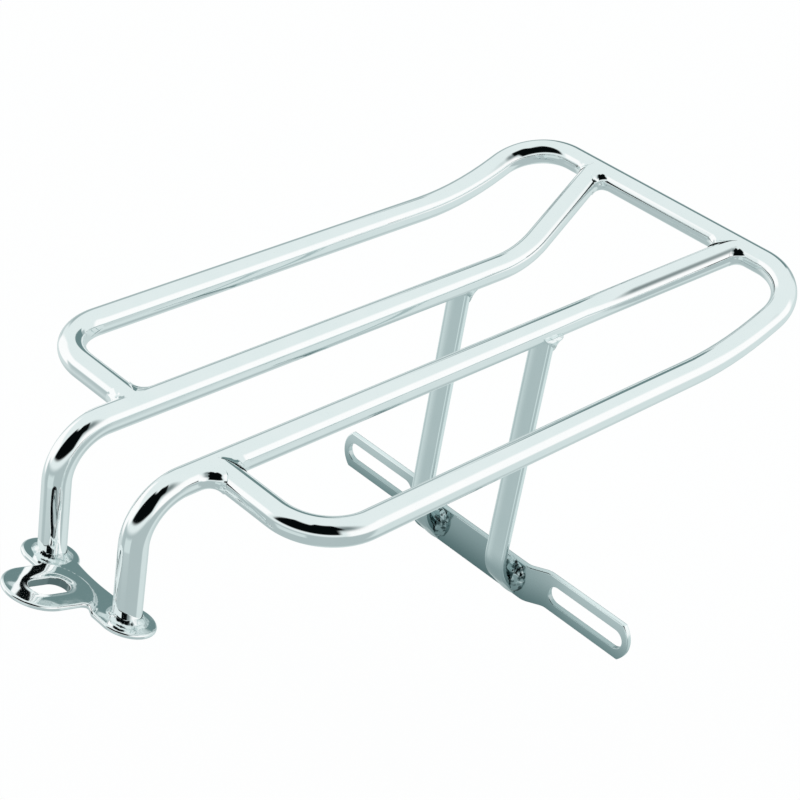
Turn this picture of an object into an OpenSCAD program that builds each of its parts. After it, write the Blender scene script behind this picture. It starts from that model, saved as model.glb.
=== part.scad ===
// Solo luggage rack for a motorcycle: bent and welded steel tube with a front
// mounting plate and a slotted rear mounting strap. Millimetres.
// Frame: +X across the rack, +Y to the rear, +Z up. The origin lies midway between
// the strap's two slots, on the front face of its slotted ends.
// The shapes are drawn about a point midway between the rails, on the centre lines
// of the platform's tubes and of the front cross tubes, and placed() moves them.

/* [Tubes] */
// Outer diameter of every tube
tube_d = 12.7; // [11:0.1:14]
// Wall of every tube
tube_wall = 1.6; // [1:0.1:2.4]
// How much the wall thins on each face where a tube is bent
bend_thinning = 0.04; // [0.02:0.01:0.1]
// How much a tube's end is dressed down where it seats on another tube
end_dressing = 0.02; // [0.01:0.01:0.05]

/* [Outer loop] */
// Distance between the centre lines of the two side tubes
loop_w = 183; // [165:1:200]
// Distance from the front cross tubes to the rear cross tube
loop_l = 316; // [300:1:340]
// Height of the rear cross tube above the platform
rear_rise = 20; // [12:0.5:28]
// Distance from the rear cross tube forward to the side tubes' bend
side_kink_back = 55; // [53:1:70]
// Bend radius where the side tubes begin to rise
side_kink_r = 160; // [90:1:165]
// Bend radius of the two front corners
front_corner_r = 26.5; // [20:0.5:34]
// Bend radius of the two rear corners
rear_corner_r = 27.5; // [20:0.5:29.5]

/* [Rails] */
// Distance between the centre lines of the two rails
rail_gap = 53; // [48:0.5:60]
// Distance between the rails where they meet the rear cross tube
rail_rear_gap = 96; // [86:0.5:106]
// Distance from the rear cross tube forward to the rails' rear bend
rail_kink_back = 75; // [65:1:85]
// Radius of the rails' rear bend
rail_kink_r = 90; // [50:1:110]
// Distance the legs stand ahead of the front cross tubes
leg_reach = 40; // [38:0.5:46]
// Bend radius at the top of the legs
leg_bend_r = 23.5; // [18:0.5:25]
// Forward lean of the legs in degrees
leg_lean = 2; // [0:0.5:5]
// Height of the platform over the front plate, at the legs
leg_drop = 60; // [52:0.5:75]

/* [Front plate] */
// Thickness of the front plate
plate_t = 2.5; // [2:0.1:4]
// Angle by which the plate's front edge is raised
plate_tilt = 17.5; // [12:0.5:22]
// Radius of the round ear under each leg
ear_r = 13; // [11.5:0.25:14]
// Distance from the leg's centre line to the ear's centre, to the outside
ear_offset = 0.5; // [0:0.25:1.5]
// Width of the tongue
tongue_w = 32; // [28:0.5:34]
// Length of the tongue ahead of the legs
tongue_l = 43.5; // [40:0.5:48]
// Height of the pressed step between the ears and the tongue
step_h = 2.8; // [1.5:0.1:3.5]
// Radius of the pressed step, about the bolt slot
step_r = 20; // [18.5:0.25:21]
// Width of the sloping face of the step
step_run = 3; // [2:0.25:4]
// Width of the bolt slot in the tongue
bolt_slot_w = 11.5; // [9:0.5:13]
// Length of the bolt slot in the tongue
bolt_slot_l = 19.5; // [16:0.5:22]
// Distance from the legs forward to the middle of the bolt slot
bolt_slot_y = 22; // [20:0.5:24]
// Distance from the legs back to the plate's rear edge, at the middle
plate_back = 6; // [4:0.5:8]
// Radius of the hollow rear edge between the ears
plate_back_r = 90; // [70:1:140]
// Radius of the notch between the tongue and each ear
notch_r = 4; // [2:0.5:5]

/* [Rear struts] */
// Width of the flat bar
strut_w = 12.7; // [10:0.1:13]
// Thickness of the flat bar
strut_t = 4.8; // [4:0.1:6]
// Distance from the rail's centre line to the strut's, to the outside
strut_offset = 1.5; // [0:0.1:2]
// Distance from the rear cross tube forward to the top of the struts
strut_back = 116.5; // [112:0.5:130]
// Forward lean of the struts in degrees
strut_lean = 2.3; // [0:0.1:4]
// Bend radius at the foot of the struts
strut_bend_r = 26; // [16:0.5:30]
// Slope of the foot, from upright, in degrees
strut_foot_a = 40; // [34:1:46]

/* [Rear strap] */
// Width of the flat bar
strap_w = 22; // [20:0.5:26]
// Thickness of the flat bar
strap_t = 3.2; // [2.5:0.1:4.5]
// Distance from the platform down to the middle of the strap
strap_drop = 149.5; // [135:0.5:165]
// Distance from the top of the struts back to the front face of the slotted ends
strap_set = 13; // [10.5:0.5:20]
// Distance by which the middle of the strap stands forward of its ends
joggle_d = 5.5; // [4:0.25:7]
// Slope of the joggle in degrees
joggle_a = 30; // [24:1:36]
// Bend radius of the joggle, to the middle of the bar
joggle_r = 8; // [6:0.5:9]
// Radius of the strap's rounded ends
strap_end_r = 15; // [14:0.5:20]
// Distance between the middles of the two slots
slot_gap = 152.4; // [148:0.2:154]
// Length of each slot
slot_l = 50; // [40:1:50]
// Width of each slot
slot_w = 11; // [8:0.5:12]
// Metal left between a slot and the end of the strap
slot_end = 3.8; // [3:0.2:8]

/* [Welds] */
// Radius of the bead round a tube joint
bead_r = 2.6; // [1.8:0.1:3]
// Leg of the fillet behind the top of a strut
strut_fillet = 6.5; // [4.5:0.25:7.5]
// Leg of the fillet ahead of the top of a strut
strut_front_fillet = 3; // [2:0.25:4]
// Distance by which the beads at a strut's top stand out at its sides
side_bead = 1.6; // [1:0.1:2.2]
// Distance by which the bead at a strut's foot stands out at its sides
foot_side_bead = 3; // [1.6:0.1:3.5]
// Distance by which the bead at a strut's foot stands forward of the strap
foot_bead_t = 6; // [4.5:0.25:6.5]
// Metal left bare between that bead and each edge of the strap
foot_bead_edge = 2; // [1:0.25:3]

/* [Hidden] */
$fn = 48;
tube_r = tube_d / 2;
// Length by which a bend runs into the straight tube at each end
bend_lap = 0.2;
rail_x = rail_gap / 2;
side_x = loop_w / 2;
// Length added to a cutter or an end that is trimmed
spare = 30;
// Depth below the rail's centre line of the flat part of a strut's top, as a share
// of the tube's radius
strut_seat = 0.7;
// Height of a strut's fillets over the rail's lowest line
fillet_seat = 0.8;
// Sweep of the hollow curve of those fillets, in degrees
fillet_sweep = 60;
// Size of a bead on the flank of a joint, as a share of its size in the crotch
flank_share = 0.55;
// Stations and sides of a swept bead
bead_stations = 36;
bead_sides = 8;
// Facets of each bend in a flat bar
bend_facets = 8;

// Places along the rack, from the front cross tubes
side_kink_y = loop_l - side_kink_back;
rail_kink_y = loop_l - rail_kink_back;
strut_y = loop_l - strut_back;
strap_y = strut_y + strap_set;

// Centre lines, right-hand side
leg_foot = [rail_x, -leg_reach - leg_drop * tan(leg_lean), -leg_drop];
leg_top = [rail_x, -leg_reach, 0];
rail_kink = [rail_x, rail_kink_y, 0];
rail_end = [rail_rear_gap / 2, loop_l, rear_rise];
rear_corner = [side_x, loop_l, rear_rise];
side_kink = [side_x, side_kink_y, 0];
front_corner = [side_x, 0, 0];
front_end = [rail_x, 0, 0];

// Front plate, in its own plane: x across, y to the rear from the legs' feet
ear_x = rail_x + ear_offset;
tongue_r = tongue_w / 2;
step_in = step_r - step_run / 2;
step_out = step_r + step_run / 2;

// Rear strap, seen from above
strap_mid_y = strap_y - joggle_d;
joggle_straight = (joggle_d - 2 * joggle_r * (1 - cos(joggle_a))) / sin(joggle_a);
joggle_run = 2 * joggle_r * sin(joggle_a) + joggle_straight * cos(joggle_a);
strap_l = slot_gap + slot_l + 2 * slot_end;
joggle_x = (slot_gap - slot_l) / 2;
strap_mid_x = joggle_x - joggle_run;

// Rear strut, seen from the side as [y, z]: the foot's outer face ends at the
// strap's lower edge, and the upper part runs up to the rail
foot_z = -strap_drop - strap_w / 2 + strut_t / 2 / sin(strut_foot_a);
strut_bend_y = strut_bend_r * (cos(strut_lean) - cos(strut_foot_a));
strut_bend_z = strut_bend_r * (sin(strut_foot_a) + sin(strut_lean));
foot_l = (strap_mid_y - strut_y - strut_bend_y + tan(strut_lean) * (-foot_z - strut_bend_z))
    / (sin(strut_foot_a) + tan(strut_lean) * cos(strut_foot_a));
bend_end = [strap_mid_y - foot_l * sin(strut_foot_a), foot_z + foot_l * cos(strut_foot_a)];
bend_start = bend_end + [-strut_bend_y, strut_bend_z];
bend_centre = bend_start + strut_bend_r * [cos(strut_lean), -sin(strut_lean)];
strut_top_z = -strut_seat * tube_r;
strut_x = rail_x + strut_offset;

// The bead at a strut's foot is a segment of a circle that stands on the strap's face
foot_bead_half = strap_w / 2 - foot_bead_edge;
foot_bead_r = (pow(foot_bead_half, 2) + pow(foot_bead_t, 2)) / (2 * foot_bead_t);

// From the platform's front to the strap's slots
module placed() {
    translate([0, -strap_y, strap_drop])
        children();
}

function unit(v) = v / norm(v);
function mirrored(p) = [-p[0], p[1], p[2]];
// Distance from the corner b to where the arc of radius r leaves each leg
function setback(a, b, c, r) = r * tan(acos(unit(b - a) * unit(c - b)) / 2);

// A length of tube between two points; trim is taken off both faces of the wall
module straight(a, b, trim = 0) {
    d = b - a;
    translate(a)
        rotate([0, acos(d[2] / norm(d)), atan2(d[1], d[0])])
            linear_extrude(norm(d))
                tube_section(trim);
}

module tube_section(trim) {
    difference() {
        circle(d = tube_d - 2 * trim);
        circle(d = tube_d - 2 * tube_wall + 2 * trim);
    }
}

// A bend of radius r at the corner b of the path a, b, c
module elbow(a, b, c, r) {
    u = unit(b - a);
    w = unit(c - b);
    axis = unit(cross(u, w));
    inward = unit(w - u * (u * w));
    centre = b - u * setback(a, b, c, r) + inward * r;
    tip = acos(axis[2]);
    swing = atan2(axis[1], axis[0]);
    e1 = [cos(tip) * cos(swing), cos(tip) * sin(swing), -sin(tip)];
    e2 = [-sin(swing), cos(swing), 0];
    lap = atan(bend_lap / r);
    translate(centre)
        rotate([0, tip, swing])
            rotate([0, 0, atan2(-inward * e2, -inward * e1) - lap])
                rotate_extrude(angle = acos(u * w) + 2 * lap)
                    translate([r, 0])
                        tube_section(bend_thinning);
}

// A tube bent through the points p, with radius r[i - 1] at p[i], and with its
// first and last lengths dressed down by trim
module bent_tube(p, r, trim) {
    last = len(p) - 1;
    for (i = [0 : last - 1]) {
        from = i == 0 ? p[0]
            : p[i] + unit(p[i + 1] - p[i]) * setback(p[i - 1], p[i], p[i + 1], r[i - 1]);
        to = i == last - 1 ? p[last]
            : p[i + 1] - unit(p[i + 1] - p[i]) * setback(p[i], p[i + 1], p[i + 2], r[i]);
        straight(from, to, i == 0 ? trim[0] : i == last - 1 ? trim[1] : 0);
    }
    for (i = [1 : last - 1])
        elbow(p[i - 1], p[i], p[i + 1], r[i - 1]);
}

// Solid rod used to cut a saddle where a tube meets the side of another
module rod(a, b, trim = 0) {
    d = b - a;
    translate(a)
        rotate([0, acos(d[2] / norm(d)), atan2(d[1], d[0])])
            cylinder(h = norm(d), d = tube_d - 2 * trim);
}

// The straight part of a rail, with some of its front bend
module rail_rod(side) {
    rod([side * rail_x, -leg_reach / 4, 0], [side * rail_x, rail_kink_y - spare, 0]);
}

module rear_rod() {
    rod([-side_x + rear_corner_r, loop_l, rear_rise], [side_x - rear_corner_r, loop_l, rear_rise]);
}

module leg_rod(side) {
    foot = [side * leg_foot[0], leg_foot[1], leg_foot[2]];
    top = [side * leg_top[0], leg_top[1], leg_top[2]];
    rod(foot - unit(top - foot) * spare, foot + unit(top - foot) * leg_drop / 2);
}

// Everything below the top face of the plate's ears
module below_plate() {
    plate_frame()
        translate([-side_x, -side_x, -2 * spare])
            cube([2 * side_x, 2 * side_x, 2 * spare]);
}

module plate_frame() {
    translate([0, leg_foot[1], leg_foot[2]])
        rotate([-plate_tilt, 0, 0])
            children();
}

module outer_loop() {
    color("gainsboro")
        placed()
            difference() {
                bent_tube(
                    [mirrored(front_end), mirrored(front_corner), mirrored(side_kink),
                        mirrored(rear_corner), rear_corner, side_kink, front_corner, front_end],
                    [front_corner_r, side_kink_r, rear_corner_r, rear_corner_r, side_kink_r,
                        front_corner_r],
                    [end_dressing, end_dressing]);
                rail_rod(-1);
                rail_rod(1);
            }
}

// A rail with its leg: side is 1 on the right and -1 on the left
module rail(side) {
    past_foot = leg_foot - unit(leg_top - leg_foot) * spare / 2;
    path = [past_foot, leg_top, rail_kink, rail_end];
    color("gainsboro")
        placed()
            difference() {
                bent_tube([for (q = path) [side * q[0], q[1], q[2]]], [leg_bend_r, rail_kink_r],
                    [0, end_dressing]);
                below_plate();
                rear_rod();
            }
}

module left_rail() {
    rail(-1);
}

module right_rail() {
    rail(1);
}

module plate_outline() {
    ear_front = -ear_r;
    back_centre = plate_back + plate_back_r;
    difference() {
        translate([-ear_x, ear_front])
            square([2 * ear_x, 2 * ear_r]);
        translate([0, back_centre])
            circle(r = plate_back_r, $fn = 96);
    }
    for (side = [-1, 1]) {
        translate([side * ear_x, 0])
            circle(r = ear_r);
        translate([side * tongue_r, ear_front])
            notch_fillet(side);
    }
    translate([-tongue_r, -tongue_l + tongue_r])
        square([tongue_w, tongue_l - tongue_r - ear_r / 2]);
    translate([0, -tongue_l + tongue_r])
        circle(r = tongue_r);
}

module notch_fillet(side) {
    difference() {
        translate([side > 0 ? 0 : -notch_r, -notch_r])
            square(notch_r);
        translate([side * notch_r, -notch_r])
            circle(r = notch_r);
    }
}

// The tongue's raised level: a disc about the bolt slot, and all that lies ahead of it
module raised_area() {
    translate([0, -bolt_slot_y])
        circle(r = step_in);
    translate([-tongue_w, -2 * tongue_l])
        square([2 * tongue_w, 2 * tongue_l - bolt_slot_y]);
}

module plate_levels() {
    linear_extrude(plate_t)
        difference() {
            plate_outline();
            translate([0, -bolt_slot_y])
                circle(r = step_out);
            raised_area();
        }
    translate([0, 0, step_h])
        linear_extrude(plate_t)
            intersection() {
                plate_outline();
                raised_area();
            }
    intersection() {
        linear_extrude(plate_t + step_h)
            difference() {
                plate_outline();
                raised_area();
            }
        translate([0, -bolt_slot_y, 0])
            rotate_extrude($fn = 72)
                polygon([[step_in, step_h], [step_out, 0], [step_out, plate_t],
                    [step_in, step_h + plate_t]]);
    }
}

module front_plate() {
    half = (bolt_slot_l - bolt_slot_w) / 2;
    color("gainsboro")
        placed()
            plate_frame()
                translate([0, 0, -plate_t])
                    difference() {
                        plate_levels();
                        translate([0, -bolt_slot_y, -spare]) {
                            for (s = [-1, 1])
                                translate([0, s * half, 0])
                                    cylinder(h = 2 * spare, d = bolt_slot_w);
                            translate([-bolt_slot_w / 2, -half, 0])
                                cube([bolt_slot_w, 2 * half, 2 * spare]);
                        }
                    }
}

function turned(centre, r, from, to) = [for (i = [0 : bend_facets])
    let (a = from + (to - from) * i / bend_facets) centre + r * [cos(a), sin(a)]];
function reversed(p) = [for (i = [len(p) - 1 : -1 : 0]) p[i]];
function flipped(p) = [for (q = p) [-q[0], q[1]]];

// One face of a strut from the rail down to the strap, s being 1 for the front
// face and -1 for the rear
function strut_face(s) =
    let (
        bend = turned(bend_centre, strut_bend_r + s * strut_t / 2, 180 - strut_lean,
            180 + strut_foot_a),
        top = bend[0],
        foot = bend[bend_facets],
        rise = strut_top_z - top[1],
        run = strap_mid_y - foot[0]
    )
    concat([top + rise * [tan(strut_lean), 1]], bend, [foot + run * [1, -1 / tan(strut_foot_a)]]);

// Side view of a strut: straight bar, bend, and the foot that meets the strap
module strut_profile() {
    polygon(concat(strut_face(1), reversed(strut_face(-1))));
}

// A profile seen from the side, made w wide about the strut's middle
module across_strut(side, w) {
    translate([side * strut_x - w / 2, 0, 0])
        rotate([90, 0, 90])
            linear_extrude(w)
                children();
}

module strut(side) {
    color("silver")
        placed()
            difference() {
                across_strut(side, strut_w)
                    strut_profile();
                rail_rod(side);
            }
}

module left_strut() {
    strut(-1);
}

module right_strut() {
    strut(1);
}

// One face of the strap from above, for x > 0: s is -1 for the front and 1 for the rear
function strap_face(s) =
    let (mid = strap_mid_y + strap_t / 2, end = strap_y + strap_t / 2)
    concat(
        turned([strap_mid_x, mid + joggle_r], joggle_r - s * strap_t / 2, -90, joggle_a - 90),
        turned([joggle_x, end - joggle_r], joggle_r + s * strap_t / 2, 90 + joggle_a, 90),
        [[strap_l / 2 + spare, end + s * strap_t / 2]]);

module strap_plan() {
    front = strap_face(-1);
    back = strap_face(1);
    polygon(concat(reversed(flipped(front)), front, reversed(back), flipped(back)));
}

// Front view of the strap with its rounded ends and slots
module strap_front_view() {
    end_x = strap_l / 2 - strap_end_r;
    half = (slot_l - slot_w) / 2;
    difference() {
        intersection() {
            square([strap_l + spare, strap_w], center = true);
            union() {
                square([2 * end_x, strap_w], center = true);
                for (s = [-1, 1])
                    translate([s * end_x, 0])
                        circle(r = strap_end_r, $fn = 72);
            }
        }
        for (s = [-1, 1])
            translate([s * slot_gap / 2, 0]) {
                square([2 * half, slot_w], center = true);
                for (e = [-1, 1])
                    translate([e * half, 0])
                        circle(d = slot_w);
            }
    }
}

module rear_strap() {
    color("silver")
        placed()
            intersection() {
                translate([0, 0, -strap_drop - strap_w / 2])
                    linear_extrude(strap_w)
                        strap_plan();
                translate([0, strap_y + spare, -strap_drop])
                    rotate([90, 0, 0])
                        linear_extrude(2 * spare)
                            strap_front_view();
            }
}

// Points of a bead swept round a tube that points from p along b, where it meets
// the side of a tube along t of the same diameter
function saddle(p, b, t, a) =
    let (
        e2 = unit(cross(b, t)),
        e1 = cross(e2, b),
        m = cross(t, e2),
        k = b * m > 0 ? 1 : -1,
        lift = (k * sqrt(max(0, 1 - sin(a) * sin(a))) - cos(a) * (e1 * m)) * tube_r / (b * m)
    )
    [p + lift * b + tube_r * (cos(a) * e1 + sin(a) * e2), cos(a) * e1 + sin(a) * e2];

// Points of a bead where a tube from p along b stands on a plane of normal n
function footing(p, b, n, a) =
    let (
        e2 = unit(cross(b, [1, 0, 0])),
        e1 = cross(e2, b),
        out = cos(a) * e1 + sin(a) * e2
    )
    [p + tube_r * (out - b * (out * n) / (b * n)), out];

// A ring of round section through the stations, thin where size is small
module bead(stations, b, size) {
    count = len(stations);
    points = [for (i = [0 : count - 1]) for (j = [0 : bead_sides - 1])
        let (f = 360 * (j + 0.5) / bead_sides)
        stations[i][0] + size[i] * (cos(f) * stations[i][1] + sin(f) * b)];
    faces = [for (i = [0 : count - 1]) for (j = [0 : bead_sides - 1])
        let (
            n = (i + 1) % count,
            k = (j + 1) % bead_sides,
            p00 = i * bead_sides + j,
            p01 = i * bead_sides + k,
            p10 = n * bead_sides + j,
            p11 = n * bead_sides + k
        )
        each [[p00, p01, p11], [p00, p11, p10]]];
    polyhedron(points, faces, convexity = 6);
}

function turns() = [for (i = [0 : bead_stations - 1]) 360 * (i + 0.5) / bead_stations];

// The bead is full at the two crotches and thin at the tubes' flanks
module saddle_bead(p, b, t) {
    bead([for (a = turns()) saddle(p, b, t, a)], b,
        [for (a = turns()) bead_r * (flank_share + (1 - flank_share) * pow(cos(a), 2))]);
}

// The bead round the right-hand front cross stub
module front_bead() {
    b = [1, 0, 0];
    color("lightgray")
        placed()
            difference() {
                saddle_bead(front_end, b, [0, 1, 0]);
                rail_rod(1);
                rod(front_end, front_end + spare * b, end_dressing);
            }
}

module weld_front_left() {
    mirror([1, 0, 0])
        front_bead();
}

module weld_front_right() {
    front_bead();
}

// The bead round the left-hand rail's rear end
module rear_bead() {
    p = mirrored(rail_end);
    b = unit(mirrored(rail_kink) - p);
    color("lightgray")
        placed()
            difference() {
                saddle_bead(p, b, [1, 0, 0]);
                rear_rod();
                rod(p, p + spare * b, end_dressing);
            }
}

module weld_rear_left() {
    rear_bead();
}

module weld_rear_right() {
    mirror([1, 0, 0])
        rear_bead();
}

module foot_bead(side) {
    p = [side * leg_foot[0], leg_foot[1], leg_foot[2]];
    b = [0, sin(leg_lean), cos(leg_lean)];
    n = [0, sin(plate_tilt), cos(plate_tilt)];
    color("lightgray")
        placed()
            difference() {
                bead([for (a = turns()) footing(p, b, n, a)], b, [for (a = turns()) bead_r]);
                below_plate();
                leg_rod(side);
            }
}

module weld_foot_left() {
    foot_bead(-1);
}

module weld_foot_right() {
    foot_bead(1);
}

// Hollow curve of a fillet with legs of length w, from the far end of the level leg
// to the foot of the upright one, in the corner at the origin
function fillet_curve(w) =
    let (
        half = fillet_sweep / 2,
        r = w / sqrt(2) / sin(half),
        c = w / 2 + r * cos(half) / sqrt(2)
    )
    turned([c, -c], r, 135 - half, 135 + half);

// Fillets ahead of and behind a strut, under its rail, joined by thin beads at its sides
module strut_bead(side) {
    corner_z = fillet_seat - tube_r;
    mid_y = strut_y + tan(strut_lean) * corner_z;
    rear = [for (q = fillet_curve(strut_fillet)) [mid_y + strut_t / 2 + q[0], corner_z + q[1]]];
    front = [for (q = fillet_curve(strut_front_fillet))
        [mid_y - strut_t / 2 - q[0], corner_z + q[1]]];
    color("lightgray")
        placed()
            difference() {
                across_strut(side, strut_w + 2 * side_bead)
                    polygon(concat([[rear[0][0], strut_top_z]], rear, reversed(front),
                        [[front[0][0], strut_top_z]]));
                rail_rod(side);
                across_strut(side, strut_w)
                    strut_profile();
            }
}

module weld_strut_left() {
    strut_bead(-1);
}

module weld_strut_right() {
    strut_bead(1);
}

// The bead that fills the corner between a strut's foot and the strap
module strap_bead(side) {
    color("lightgray")
        placed()
            difference() {
                across_strut(side, strut_w + 2 * foot_side_bead)
                    intersection() {
                        translate([strap_mid_y + foot_bead_r - foot_bead_t, -strap_drop])
                            circle(r = foot_bead_r);
                        translate([strap_mid_y - foot_bead_t - 1, -strap_drop - strap_w / 2])
                            square([foot_bead_t + 1, strap_w]);
                    }
                across_strut(side, strut_w)
                    strut_profile();
            }
}

module weld_strap_left() {
    strap_bead(-1);
}

module weld_strap_right() {
    strap_bead(1);
}

outer_loop();
left_rail();
right_rail();
front_plate();
left_strut();
right_strut();
rear_strap();
weld_front_left();
weld_front_right();
weld_rear_left();
weld_rear_right();
weld_foot_left();
weld_foot_right();
weld_strut_left();
weld_strut_right();
weld_strap_left();
weld_strap_right();
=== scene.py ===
"""A solo luggage rack for a motorcycle: bent steel tube, pressed plate and flat
bar, welded together and chrome plated all over."""
import math

import bpy
import numpy as np
from mathutils import Matrix, Vector
from mathutils.geometry import delaunay_2d_cdt


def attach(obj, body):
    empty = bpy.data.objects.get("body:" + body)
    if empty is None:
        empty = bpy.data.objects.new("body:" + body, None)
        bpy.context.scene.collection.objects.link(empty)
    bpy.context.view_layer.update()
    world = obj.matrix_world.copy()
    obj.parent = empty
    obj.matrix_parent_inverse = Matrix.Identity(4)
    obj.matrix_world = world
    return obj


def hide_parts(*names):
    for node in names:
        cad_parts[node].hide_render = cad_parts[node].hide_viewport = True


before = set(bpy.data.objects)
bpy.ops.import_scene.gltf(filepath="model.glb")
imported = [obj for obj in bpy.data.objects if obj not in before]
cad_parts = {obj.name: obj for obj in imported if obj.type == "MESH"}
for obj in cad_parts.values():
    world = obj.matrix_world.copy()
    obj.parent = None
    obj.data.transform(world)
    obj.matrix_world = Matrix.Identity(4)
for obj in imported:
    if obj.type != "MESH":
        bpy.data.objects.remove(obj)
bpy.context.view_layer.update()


# The photographer's camera: a long lens from the front right, held a little tilted.
# Its place is measured from the middle of the platform's front.

# How far behind and below the platform's front the strap's ends lie, where the rack
# has its origin
STRAP_BACK = 212.5
STRAP_DROP = 149.5
PLATFORM = np.array((0.0, -STRAP_BACK, STRAP_DROP))
camera_data = bpy.data.cameras.new("camera")
camera_data.sensor_width = 36.0
camera_data.lens = 90.541
camera_data.clip_start = 0.05
camera_data.clip_end = 50.0
camera = bpy.data.objects.new("camera", camera_data)
bpy.context.collection.objects.link(camera)
bpy.context.scene.camera = camera
camera_spot = Vector(PLATFORM / 1000) + Vector((0.529481, -0.453437, 0.485511))
right = Vector((0.68392, 0.71959, 0.12015))
up = Vector((-0.46818, 0.30659, 0.82874))
back = Vector((0.55952, -0.62305, 0.54658))
turned = Matrix((right, up, back)).transposed().to_4x4()
camera.matrix_world = Matrix.Translation(camera_spot) @ turned
bpy.context.scene.view_settings.view_transform = "Standard"


# The studio: a pale ceiling and a lit paper floor, big soft screens on both sides, and
# the unlit end of the room behind the photographer. Chrome shows the room and little
# else, so the room is drawn by direction, in the world.


def linear(hex_colour):
    """An sRGB hex colour as linear red, green, blue and alpha."""
    channels = [int(hex_colour[i : i + 2], 16) / 255 for i in (1, 3, 5)]
    return [c / 12.92 if c <= 0.04045 else ((c + 0.055) / 1.055) ** 2.4 for c in channels] + [1.0]


def add(tree, kind, settings=None, inputs=None):
    """Adds a node, sets its properties, and sets or links its inputs."""
    node = tree.nodes.new(kind)
    for name, value in (settings or {}).items():
        setattr(node, name, value)
    for name, value in (inputs or {}).items():
        if isinstance(value, bpy.types.NodeSocket):
            tree.links.new(value, node.inputs[name])
        else:
            node.inputs[name].default_value = value
    return node


def toward(azimuth, elevation):
    """The direction at an azimuth from the front towards the right, and an elevation."""
    a, e = math.radians(azimuth), math.radians(elevation)
    return (math.sin(a) * math.cos(e), -math.cos(a) * math.cos(e), math.sin(e))


world = bpy.data.worlds.new("studio")
bpy.context.scene.world = world
world.use_nodes = True
studio = world.node_tree
studio.nodes.clear()
sight = add(studio, "ShaderNodeTexCoord").outputs["Generated"]
height = add(studio, "ShaderNodeSeparateXYZ", inputs={"Vector": sight}).outputs["Z"]
height = add(studio, "ShaderNodeMath", {"operation": "ARCSINE"}, {0: height}).outputs[0]


def screen(room, colour, azimuths, elevations, soft):
    """Hangs a screen of one colour in the room, between two azimuths and elevations in
    degrees, with soft edges some degrees wide."""
    middle = sum(azimuths) / 2
    ahead, aside = [
        add(
            studio,
            "ShaderNodeVectorMath",
            {"operation": "DOT_PRODUCT"},
            {0: sight, 1: toward(azimuth, 0)},
        ).outputs["Value"]
        for azimuth in (middle, middle + 90)
    ]
    turn = add(studio, "ShaderNodeMath", {"operation": "ARCTAN2"}, {0: aside, 1: ahead}).outputs[0]
    rise = add(
        studio,
        "ShaderNodeMath",
        {"operation": "SUBTRACT"},
        {0: height, 1: math.radians(sum(elevations) / 2)},
    ).outputs[0]
    shares = []
    for angle, (low, high) in ((turn, azimuths), (rise, elevations)):
        half = (high - low) / 2
        away = add(studio, "ShaderNodeMath", {"operation": "ABSOLUTE"}, {0: angle}).outputs[0]
        share = add(
            studio,
            "ShaderNodeMapRange",
            {"interpolation_type": "SMOOTHSTEP"},
            {
                "Value": away,
                "From Min": math.radians(half - soft / 2),
                "From Max": math.radians(half + soft / 2),
                "To Min": 1.0,
                "To Max": 0.0,
            },
        ).outputs["Result"]
        shares.append(share)
    share = add(
        studio, "ShaderNodeMath", {"operation": "MULTIPLY"}, {0: shares[0], 1: shares[1]}
    ).outputs[0]
    return add(
        studio, "ShaderNodeMix", {"data_type": "RGBA"}, {0: share, 6: room, 7: linear(colour)}
    ).outputs[2]


# The ceiling is pale cloth, and the floor is the grey of lit paper
horizon = add(
    studio,
    "ShaderNodeMapRange",
    {"interpolation_type": "SMOOTHSTEP"},
    {"Value": height, "From Min": math.radians(-8), "From Max": math.radians(3)},
).outputs["Result"]
room = add(
    studio,
    "ShaderNodeMix",
    {"data_type": "RGBA"},
    {0: horizon, 6: linear("#aebdbe"), 7: linear("#e3eded")},
).outputs[2]
# The floor is lighter behind the rack, where the lamps reach it
room = screen(room, "#d3e0e0", azimuths=(122, 188), elevations=(-46, 0), soft=14)
room = screen(room, "#c8d6d6", azimuths=(178, 232), elevations=(-80, -12), soft=20)
# A grey curtain far behind on the left draws the dark line along the tubes' tops
room = screen(room, "#a4b5b6", azimuths=(-176, -110), elevations=(-10, 17), soft=8)
room = screen(room, "#6c8687", azimuths=(-166, -135), elevations=(3, 27), soft=3)
# A pale patch of floor in front, which lights the right part of the struts' faces
room = screen(room, "#cfdddd", azimuths=(-18, 26), elevations=(-34, -12), soft=7)
# The floor on the left, lit by its screen, then one white screen on the right and two
# on the left
room = screen(room, "#d2dede", azimuths=(-120, -48), elevations=(-42, -8), soft=24)
room = screen(room, "#ffffff", azimuths=(82, 150), elevations=(-5, 37), soft=12)
room = screen(room, "#ffffff", azimuths=(-96, -31), elevations=(1, 30), soft=9)
room = screen(room, "#ffffff", azimuths=(-96, -54), elevations=(-20, 6), soft=7)
# A grey flag high on the right, then the unlit room behind the camera, which reaches
# higher on that side
room = screen(room, "#7d898a", azimuths=(56, 108), elevations=(36, 70), soft=30)
room = screen(room, "#05090a", azimuths=(-23, 72), elevations=(12, 67), soft=8)
room = screen(room, "#05090a", azimuths=(20, 83), elevations=(44, 78), soft=8)
studio_light = add(
    studio, "ShaderNodeBackground", inputs={"Color": room, "Strength": 1.0}
).outputs[0]
plain_white = add(
    studio, "ShaderNodeBackground", inputs={"Color": linear("#ffffff"), "Strength": 1.0}
).outputs[0]
rays = add(studio, "ShaderNodeLightPath").outputs
plainly = add(
    studio,
    "ShaderNodeMath",
    {"operation": "MAXIMUM"},
    {0: rays["Is Camera Ray"], 1: rays["Is Transmission Ray"]},
).outputs[0]
shown = add(
    studio, "ShaderNodeMixShader", inputs={0: plainly, 1: studio_light, 2: plain_white}
).outputs[0]
add(studio, "ShaderNodeOutputWorld", inputs={"Surface": shown})


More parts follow.
